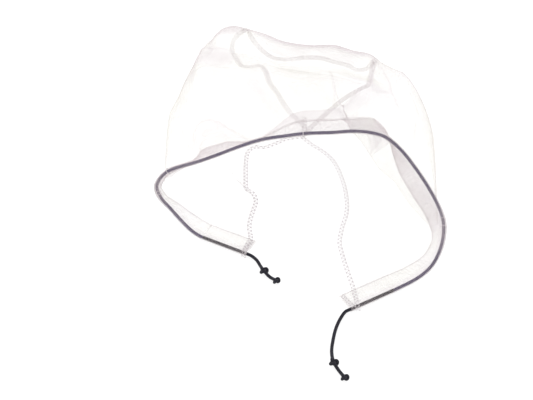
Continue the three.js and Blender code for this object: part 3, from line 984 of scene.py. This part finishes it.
    def lower(self, side: Side) -> Array:
        """Grid of a side's lower layer: straight lines from the fold's foot to the inner edge,
        which is the casing's hem, then the neck edge, then the centre seam.

        Args:
            side: Which half of the hood.

        Returns:
            Points, shape (rows, cols / 2, 3).
        """
        left = side is Side.LEFT
        foot = self.upper(side)[:, -1]
        hems = [LEFT_RISE - 1, 7, 6, 5, 4, 2, 0.3] if left else [26.4, 27.4, 29, 30, 31, 32, 33]
        places = np.array([self.casing.place(i) for i in hems])
        hem = self.casing.points(places, self.casing.widths(places) - 1)
        hem[:, 2] = self.table_height
        neck = smooth_plan(LEFT_NECK if left else RIGHT_NECK, 60, self.table_height)
        seam = self.under_seam(160)
        turn = int(np.argmax(seam[:, 0]))
        if left:
            inner, outer = np.concatenate([hem, neck, seam[1:]]), foot
        else:
            start = int(self.rows * (self.seam_turn + 0.02))
            inner, outer = np.concatenate([hem, neck, seam[1:turn]]), foot[start:][::-1]
        outer, inner = spaced(outer, self.rows), spaced(inner, self.rows)
        share = np.linspace(0, 1, self.cols // 2)[None, :, None]
        return outer[:, None] * (1 - share) + inner[:, None] * share

    def normals(self, grid: Array) -> Array:
        """Unit normals of a grid, from its steps both ways."""
        return unit(np.cross(np.gradient(grid, axis=0), np.gradient(grid, axis=1)))

    def pressed(self, grid: Array, creases: Sequence[Crease], top: float = 1.0
                ) -> tuple[Array, Array]:
        """A panel's grid with its creases, and how crowded its cloth is at each point.

        A ridge is the normal times a bell curve of the distance, in plan, to the crease's line;
        the crowding is another bell curve of the same distance. Both fade at the line's ends.

        Args:
            grid: The panel's points, shape (n, m, 3).
            creases: The folds to press in.
            top: Share of each rib that creases reach.

        Returns:
            Moved points and crowding, shapes (n, m, 3) and (n, m).
        """
        normal, gather, moved = self.normals(grid), np.zeros(grid.shape[:2]), grid.copy()
        normal *= np.where(normal[..., 2:] < 0, -1, 1)
        open_rows = np.arange(grid.shape[1])[None] < top * grid.shape[1]
        fade = np.sin(math.pi * np.linspace(0.04, 0.96, 160)) ** 0.5
        for crease in creases:
            spots = catmull(flat(crease.line), np.linspace(0, 1, len(fade)))[:, :2]
            reach = 3 * max(crease.width, crease.spread)
            low, high = spots.min(axis=0) - reach, spots.max(axis=0) + reach
            near = np.all((grid[..., :2] > low) & (grid[..., :2] < high), axis=2) & open_rows
            gap = np.linalg.norm(grid[near][:, None, :2] - spots[None], axis=2)
            first = gap.argmin(axis=1)
            gap, hold = gap[np.arange(len(gap)), first], fade[first]
            moved[near] += normal[near] * (crease.height * hold * np.exp(
                -(gap / crease.width) ** 2))[:, None]
            gather[near] += crease.gather * hold * np.exp(-(gap / crease.spread) ** 2)
        return moved, gather

    def fold_crease(self, grid: Array, strength: float = 5.0, width: float = 1.1) -> Array:
        """Crowding along the outer fold, where the cloth turns over.

        The fold's line is, on each rib, the point past the shoulder whose normal is nearest to
        square with a slope of forty-five degrees; its places along the ribs are smoothed. The
        crowding is a bell curve of the distance to that point.

        Args:
            grid: An upper layer's points, shape (rows, cols, 3).
            strength: Crowding on the line.
            width: Half-width of the bell curve.

        Returns:
            Crowding, shape (rows, cols).
        """
        slope = np.abs(self.normals(grid) @ np.array((0, 0.7071, -0.7071)))
        first, last = int(grid.shape[1] * 0.4), int(grid.shape[1] * 0.9)
        best = slope[:, first:last].argmin(axis=1) + first
        near = 6                       # ribs on each side that smooth a rib's place
        windows = np.lib.stride_tricks.sliding_window_view(
            np.pad(best, near, mode="edge"), 2 * near + 1)
        best = np.median(windows, axis=1).astype(int)
        edge = grid[np.arange(len(grid)), best]
        gap = np.linalg.norm(grid - edge[:, None], axis=2)
        return strength * np.exp(-(gap / width) ** 2)


# Folds pressed into the netting, as lines seen from above.
UPPER_CREASES: dict[Side, tuple[Crease, ...]] = {
    Side.LEFT: (
        Crease(((-45, 110), (-34, 83), (-24, 58), (-14, 38)), 0, 1.5, 1.0, 4),
        Crease(((-97, 183), (-86, 174), (-75, 174), (-61, 172)), 1.5, 1.5, 1.2, 1.2),
        Crease(((-104, 166), (-84, 163), (-62, 160)), 0, 1.5, 3.0, 14),
        Crease(((-101, 138), (-91, 145), (-76, 144), (-58, 137)), 1.2, 1.5, 0.8, 1.5),
        Crease(((-96, 37), (-95, 47), (-91, 56), (-85, 58), (-68, 44), (-49, 26)), 3, 3, 1.0, 2.5),
        Crease(((-93, 40), (-80, 45), (-62, 33)), 0, 2, 1.0, 7),
        Crease(((-114, 60), (-106, 47), (-97, 32)), 1.5, 1.5, 0.8, 1.2),
        Crease(((-116, 76), (-110, 120), (-100, 156)), 1.5, 2, 0.6, 1.5),
        Crease(((-82, 208), (-66, 210), (-50, 210)), 0.8, 2, 5, 9),
        Crease(((-90, 190), (-78, 200), (-70, 212)), 1, 1.5, 1.2, 2),
    ),
    Side.RIGHT: (
        Crease(((83, 152), (88, 135), (92, 117), (92, 101), (96, 78)), 2, 1.5, 1.6, 1.2),
        Crease(((33, 130), (35, 84), (33, 37)), 1.5, 1.1, 1.6, 0.9),
        Crease(((35, 74), (38, 51), (43, 33), (50, 27)), 2, 1.2, 1.6, 1.0),
        Crease(((66, 80), (77, 86), (90, 99)), 0.5, 2, 1.4, 2),
        Crease(((80, 160), (76, 135), (71, 90)), 1, 2, 2.0, 2.6),
        Crease(((72, 89), (62, 81), (52, 63), (45, 50), (39, 40), (33, 31)), 2.5, 1.5, 2.0, 1.4),
        Crease(((68, 78), (55, 58), (44, 38)), 0, 2, 1.6, 6),
        Crease(((-50, 192), (-44, 178), (-39, 170)), 0, 2, 3.0, 4),
        Crease(((-46, 212), (-14, 195), (14, 189), (40, 188), (58, 179), (78, 168)), 0, 4, 4, 9),
        Crease(((82, 160), (92, 140), (98, 120)), 0, 4, 1, 8),
        Crease(((112, 40), (116, 70), (110, 110)), 1.5, 2, 0.6, 2),
        Crease(((100, 120), (106, 134), (108, 146)), 1, 2, 0.8, 2),
    ),
}
LOWER_CREASES: dict[Side, tuple[Crease, ...]] = {
    Side.LEFT: (
        Crease(((-77, 62), (-62, 36), (-48, 11)), 1.2, 1.2, 1.4, 0.8),
        Crease(((-71, 38), (-74, 0), (-76, -36)), 0.8, 1.2, 0.9, 0.8),
        Crease(((-86, -10), (-83, -32)), 0.8, 1.2, 1.2, 0.8),
    ),
    Side.RIGHT: (
        Crease(((70, 60), (84, 20), (92, -20)), 0.8, 2, 0.3, 1.2),
    ),
}


# ---- overlocked edges ------------------------------------------------------------------------
@dataclass
class Overlock:
    """Overlock stitching along an edge: two rails and slanting loops of thread between them."""

    path: Array
    width: float = 3.6
    pitch: float = 4.6
    thread: float = 0.18
    lift: float = 0.5
    arch: float = 0.35             # how much higher the loops stand between the rails
    wobble: float = 0.18           # how far the loops pull the rails in and out
    knot: float = 1.0              # how much thicker the loops are where they meet the rails
    up: tuple[float, float, float] = (0, 0, 1)
    steps: int = 12                # points along one loop
    climb: tuple[float, float] = (4.0, 16.0)    # heights over which an outer seam tips over
    outer: float = 150.0           # how far back the outer fold is

    def upright(self, line: Array) -> Array:
        """Way off the cloth: `up` on the table, tipped outwards where the seam climbs a fold.

        Args:
            line: Points of the seam, shape (n, 3).

        Returns:
            Directions, shape (n, 3).
        """
        low, high = self.climb
        tip = np.clip((line[:, 2:] - low) / (high - low), 0, 1) * (line[:, 1:2] > self.outer)
        return unit(np.array(self.up) * (1 - tip) + np.array((0, -0.6, 0.8)) * tip)

    def allowance(self, width: float = 5.6) -> Array:
        """The seam's two cut edges, folded together under the stitching.

        Args:
            width: How wide they are.

        Returns:
            Points, shape (300, 5, 3).
        """
        line = spaced(self.path, 300)
        side = unit(np.cross(tangents(line), self.upright(line)))
        across = np.linspace(-0.5, 0.5, 5)[None, :, None] * width
        return line[:, None] + side[:, None] * across

    def parts(self) -> list[Part]:
        """Tubes of the rails and of the loops.

        A loop crosses from one rail to the other and back: its place across is a triangle
        wave of its place along, and it stands a little proud between the rails.

        Returns:
            The loops, then the two rails.
        """
        count = max(int(round(length_of(self.path) / self.pitch)), 2)
        line = spaced(self.path, count * self.steps + 1)
        way = tangents(line)
        side = unit(np.cross(way, self.upright(line)))
        up = np.cross(side, way)
        phase = np.arange(len(line)) / self.steps
        across = (np.abs((phase % 1) - 0.5) * 4 - 1) * self.width / 2
        height = self.lift + self.arch * np.cos(across / self.width * math.pi)
        loops = line + side * across[:, None] + up * height[:, None]
        knots = np.cos(2 * math.pi * phase) ** 6
        made = [tube(loops, self.thread * (1.2 + self.knot * knots), THREAD_SIDES)]
        for edge in (-1, 1):
            wobble = self.wobble * np.cos(2 * math.pi * phase)
            rail = line + side * (edge * self.width / 2 + wobble)[:, None] + up * self.lift
            made.append(tube(rail, self.thread * 0.9, THREAD_SIDES))
        return made


# ---- cord ends -------------------------------------------------------------------------------
@dataclass
class CordEnd:
    """One free end of the drawcord: inner stretch, bare cord, stop knot, tag and end knot."""

    side: Side
    tail: Array
    tag: Array
    diameter: float = 3.0
    stretch: float = 45.0
    stop_size: float = 4.7         # half of a knot's width
    end_size: float = 4.2
    knot_cord: float = 0.42        # radius of the cord in a knot, as a share of its diameter

    def path(self) -> Array:
        """Centreline from the casing's end through the stop knot to the end knot."""
        return smooth(np.concatenate([self.tail, self.tag[1:]]), 400, 60)

    def inner(self, casing: Casing) -> Array:
        """Straight centreline inside the casing, up to the exit.

        Args:
            casing: The casing that it lies in.

        Returns:
            Points, shape (30, 3).
        """
        t = np.array([0.0 if self.side is Side.LEFT else 1.0])
        _, along, _, _ = casing.frames(t)
        out = -along[0] if self.side is Side.LEFT else along[0]
        return spaced(np.stack([self.tail[0] - out * self.stretch, self.tail[0]]), 30)

    def knot(self, centre: Array, way: Array, size: float) -> Part:
        """An overhand knot pulled tight: a trefoil of cord squeezed along its way.

        Args:
            centre: Middle of the knot.
            way: Direction of the cord through it.
            size: Half of its width.

        Returns:
            A closed tube's points, quads and texture places.
        """
        a = np.linspace(0, 2 * math.pi, 97)
        loop = np.stack([np.sin(a) + 2 * np.sin(2 * a), np.cos(a) - 2 * np.cos(2 * a),
                         -1.3 * np.sin(3 * a)], axis=1) / 3
        way = unit(way)
        side = unit(np.cross(way, (0.1, 0.2, 1)))
        up = np.cross(side, way)
        radius = self.diameter * self.knot_cord
        reach = size - radius
        points = (centre + loop[:, :1] * side * reach + loop[:, 1:2] * way * reach * 0.95
                  + loop[:, 2:] * up * reach * 0.9)
        return tube(points, radius, 12)


# ---- the whole hood --------------------------------------------------------------------------
@dataclass
class Hood:
    """Builds every piece of the hood."""

    casing: Casing = field(default_factory=Casing)
    made: list[bpy.types.Object] = field(default_factory=list)
    grids: dict[str, Array] = field(default_factory=dict)
    core_radius: float = 1.46      # of the elastic in the casing
    hem_rows: int = 420
    seam_width: float = 3.0
    seam_thread: float = 0.085
    tack_inset: float = 0.004      # how far the bar tacks lie from the casing's ends
    hem_thread: float = 0.2
    wrap_thread: float = 0.3

    def __post_init__(self) -> None:
        """Makes the panels' shape and the finishes."""
        self.panels = Panels(self.casing)
        self.tulle = TulleFinish().make()
        self.thread = ThreadFinish().make()
        self.braid = BraidFinish().make()
        # painted light: the elastic in the casing is painted paler and bluer than the bare cord,
        # for the light that the netting over it scatters
        self.braid_painted_paler = BraidFinish("elastic greyed by the netting over it",
                                       (0.028, 0.019, 0.062), (0.06, 0.046, 0.12)).make()

    def keep(self, obj: bpy.types.Object, material: bpy.types.Material, slot: str,
             body: str, *nodes: str) -> bpy.types.Object:
        """Gives a piece its finish and body, and hides the nodes that it replaces.

        Args:
            obj: The piece.
            material: Its finish.
            slot: Not used.
            body: The body that it moves with.
            *nodes: Names of the nodes that it replaces.

        Returns:
            The piece.
        """
        obj.data.materials.append(material)
        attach(obj, body)
        if nodes:
            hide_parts(*nodes)
        self.made.append(obj)
        log.info("piece %s: %d faces", obj.name, len(obj.data.polygons))
        return obj

    def cords(self) -> None:
        """The drawcord in its casing and its two free ends."""
        t = np.linspace(0, 1, 1200)
        rim = spaced(self.casing.frames(t)[0], 500)
        core = join_parts("elastic_in_casing", [tube(rim[2:-2], self.core_radius, CORD_SIDES)])
        # painted light: the elastic in the casing takes the paler, bluer painted colour
        self.keep(core, self.braid_painted_paler, "cord", "hood", "drawcord")
        for side, tail, tag in ((Side.LEFT, LEFT_TAIL, LEFT_TAG),
                                (Side.RIGHT, RIGHT_TAIL, RIGHT_TAG)):
            self.cord_end(CordEnd(side, np.array(tail, float), np.array(tag, float)))

    def cord_end(self, end: CordEnd) -> None:
        """One free end of the cord, on its own body.

        Args:
            end: Which end, with its path.
        """
        name, body = end.side.value, f"{end.side.value}_cord_end"
        radius = end.diameter / 2
        inner = join_parts(f"{name}_cord_inside",
                           [tube(end.inner(self.casing), radius, CORD_SIDES)])
        self.keep(inner, self.braid, "cord", body)
        path = end.path()
        free = join_parts(f"{name}_free_cord", [tube(path, radius, CORD_SIDES)])
        self.keep(free, self.braid, "cord", body, f"{name}_cord_tail", f"{name}_cord_tag")
        way = tangents(path)
        at = int(np.argmin(np.linalg.norm(path - end.tag[0], axis=1)))
        stop = join_parts(f"{name}_tied_stop_knot", [end.knot(end.tag[0], way[at], end.stop_size)])
        self.keep(stop, self.braid, "cord", body, f"{name}_stop_knot")
        last = join_parts(f"{name}_tied_end_knot", [end.knot(end.tag[-1], way[-1], end.end_size)])
        self.keep(last, self.braid, "cord", body, f"{name}_end_knot")
        metres = (path - CENTRE) * MM
        length_of(metres)

    def netting(self) -> None:
        """Casings and panels."""
        place = self.casing.place
        halves = {Side.LEFT: (0.0, place(FOREHEAD)), Side.RIGHT: (place(FOREHEAD), 1.0)}
        for side, (start, end) in halves.items():
            name = side.value
            fold = self.casing.fold(start, end, self.hem_rows)
            crowd = self.casing.gather(start, end, self.hem_rows)
            hem = cloth(f"{name}_folded_hem", fold, crowd)
            self.keep(hem, self.tulle, "casing", "hood", f"{name}_casing")
            upper_grid, lower_grid = self.panels.upper(side), self.panels.lower(side)
            edge = self.panels.fold_crease(upper_grid)
            ends = (LEFT_RISE, FOREHEAD) if side is Side.LEFT else (FOREHEAD, RIGHT_RISE)
            rim = self.panels.rim_gather(upper_grid, *ends)
            upper_grid, gather = self.panels.pressed(upper_grid, UPPER_CREASES[side], 0.8)
            upper = cloth(f"{name}_upper_netting", upper_grid, gather + edge + rim)
            self.keep(upper, self.tulle, "netting", "hood", f"{name}_upper_panel")
            lower = cloth(f"{name}_lower_netting", *self.panels.pressed(
                lower_grid, LOWER_CREASES[side]))
            self.keep(lower, self.tulle, "netting", "hood", f"{name}_lower_panel")
            self.grids |= {hem.name: fold, upper.name: upper_grid, lower.name: lower_grid}

    def stitching(self) -> None:
        """Overlocked seams and edges, the hem's stitching and the tacks."""
        seam = {"width": self.seam_width, "thread": self.seam_thread}
        table = self.panels.table_height
        places = {
            "upper_centre_seam": Overlock(route(CROWN_SEAM), **seam),
            "lower_centre_seam": Overlock(route(BACK_SEAM), **seam),
            "left_neck_overlock": Overlock(route([*LEFT_NECK_END, *flat(LEFT_NECK, table)]),
                                           knot=2.0),
            "right_neck_overlock": Overlock(route([*RIGHT_NECK_END, *flat(RIGHT_NECK, table)])),
        }
        for name, line, crowd in (("crown", CROWN_SEAM, 0.5), ("back", BACK_SEAM, 1.2)):
            strip = Overlock(route(line)).allowance()
            self.keep(cloth(f"{name}_seam_allowance", strip, crowd), self.tulle, "netting", "hood")
        for node, edge in places.items():
            piece = join_parts(f"{node}_threads", edge.parts())
            self.keep(piece, self.thread, "thread", "hood", node)
        forehead = self.casing.place(FOREHEAD)
        first, last = self.tack_inset, 1 - self.tack_inset
        for side, start, end in ((Side.LEFT, first, forehead), (Side.RIGHT, forehead, last)):
            t = np.linspace(start, end, 700)
            line = self.casing.points(t, self.casing.widths(t) - self.casing.stitch_inset, 0.6)
            stitches = [tube(line, self.hem_thread, THREAD_SIDES)]
            stitches += [tube(self.casing.wrap(i), self.wrap_thread, THREAD_SIDES)
                         for i in self.casing.wraps if start < self.casing.place(i) < end]
            piece = join_parts(f"{side.value}_hem_thread", stitches)
            self.keep(piece, self.thread, "thread", "hood", f"{side.value}_hem_stitching")
        for node, t, reach in (("forehead_tack", forehead, 17.0), ("left_bar_tack", first, 18.0),
                               ("right_bar_tack", last, 18.0)):
            self.tack(node, t, reach)

    def declare_sheets(self) -> None:
        """Logs what each layer of cloth is cut to: its size and its area."""
        pieces = {piece.name: piece for piece in self.made}
        for name, grid in self.grids.items():
            steps = [np.linalg.norm(np.diff(grid, axis=k), axis=2).sum(axis=k) for k in (0, 1)]
            one, two = grid[1:, 1:] - grid[:-1, :-1], grid[1:, :-1] - grid[:-1, 1:]
            area = float(np.linalg.norm(np.cross(one, two), axis=2).sum() / 2) * MM * MM
            sizes = np.ptp(grid[..., :2], axis=(0, 1)) if "lower" in name else [
                step.max() for step in steps]
            width, length = (float(size) * MM for size in sizes)
            log.info("sheet %s: %.3f by %.3f m, %.4f m2", name, width, length, area)

    def tack(self, node: str, t: float, reach: float) -> None:
        """Close zigzag stitching over the casing, from the cord's bead to its inner edge.

        It lies just off the bead, and sinks in a straight slope to just off the flat layers.

        Args:
            node: The node that it replaces.
            t: Share of the way along the casing's route.
            reach: How far inwards from the cord it runs.
        """
        over_bead, over_layers = self.casing.bead + 0.5, 1.1
        steps = np.linspace(-2.2, reach, 120)
        blend = np.clip(steps / self.casing.taper, 0, 1)
        rise = over_bead + (over_layers - over_bead) * blend
        line = self.casing.points(np.full(len(steps), t), steps, rise)
        up = self.casing.frames(np.array([t]))[3][0]
        over = Overlock(line, width=3.4, pitch=3.0, thread=0.13, lift=0.0, up=tuple(up))
        piece = join_parts(f"{node}_threads", over.parts())
        self.keep(piece, self.thread, "thread", "hood", node)


# ---- the studio ------------------------------------------------------------------------------
@dataclass
class Studio:
    """Camera, white table and soft light."""

    elevation: float = 45.0
    distance: float = 1.25
    lens: float = 89.0
    target: tuple[float, float, float] = (-0.02912, -0.04538, 0.0)
    sky: float = 1.05
    lamp_power: float = 6.0
    lamp_size: float = 1.4
    lamp_place: tuple[float, float, float] = (-0.9, 0.5, 1.5)
    table_half: float = 2500.0     # in millimetres, as the routes are
    table_level: float = -0.5

    def camera(self) -> None:
        """A long lens from in front and above."""
        tilt = math.radians(self.elevation)
        data = bpy.data.cameras.new("camera")
        data.lens, data.sensor_width = self.lens, 36.0
        data.clip_end = 20
        obj = bpy.data.objects.new("camera", data)
        bpy.context.collection.objects.link(obj)
        back = Vector((0, -math.cos(tilt), math.sin(tilt)))
        obj.location = Vector(self.target) + back * self.distance
        obj.rotation_euler = (math.pi / 2 - tilt, 0, 0)
        bpy.context.scene.camera = obj

    def table(self) -> None:
        """A wide white table, just under the hood."""
        around = ((-1, -1), (1, -1), (1, 1), (-1, 1))
        corners = np.array([(x * self.table_half, y * self.table_half, self.table_level)
                            for x, y in around])
        obj = mesh_object("table", corners, np.array([[0, 1, 2, 3]]), smooth=False)
        obj.data.materials.append(TableFinish().make())

    def light(self) -> None:
        """An even white sky and one large soft lamp from the upper left."""
        scene = bpy.context.scene
        world = bpy.data.worlds.new("white studio")
        world.use_nodes = True
        sky = world.node_tree.nodes["Background"]
        sky.inputs["Color"].default_value = (1, 1, 1, 1)
        sky.inputs["Strength"].default_value = self.sky
        scene.world = world
        lamp = bpy.data.lights.new("soft lamp", "AREA")
        lamp.energy, lamp.size = self.lamp_power, self.lamp_size
        obj = bpy.data.objects.new("soft lamp", lamp)
        bpy.context.collection.objects.link(obj)
        obj.location = self.lamp_place
        obj.rotation_euler = (-obj.location).to_track_quat("-Z", "Y").to_euler()
        scene.view_settings.view_transform = "Standard"
        scene.cycles.transparent_max_bounces = 48


def main() -> None:
    """Builds the studio and the hood, in order."""
    logging.basicConfig(level=logging.INFO, format="%(name)s: %(message)s")
    studio = Studio()
    studio.camera()
    hood = Hood()
    hood.cords()
    hood.netting()
    hood.stitching()
    studio.table()
    hood.declare_sheets()
    studio.light()


if __name__ == "__main__":
    main()
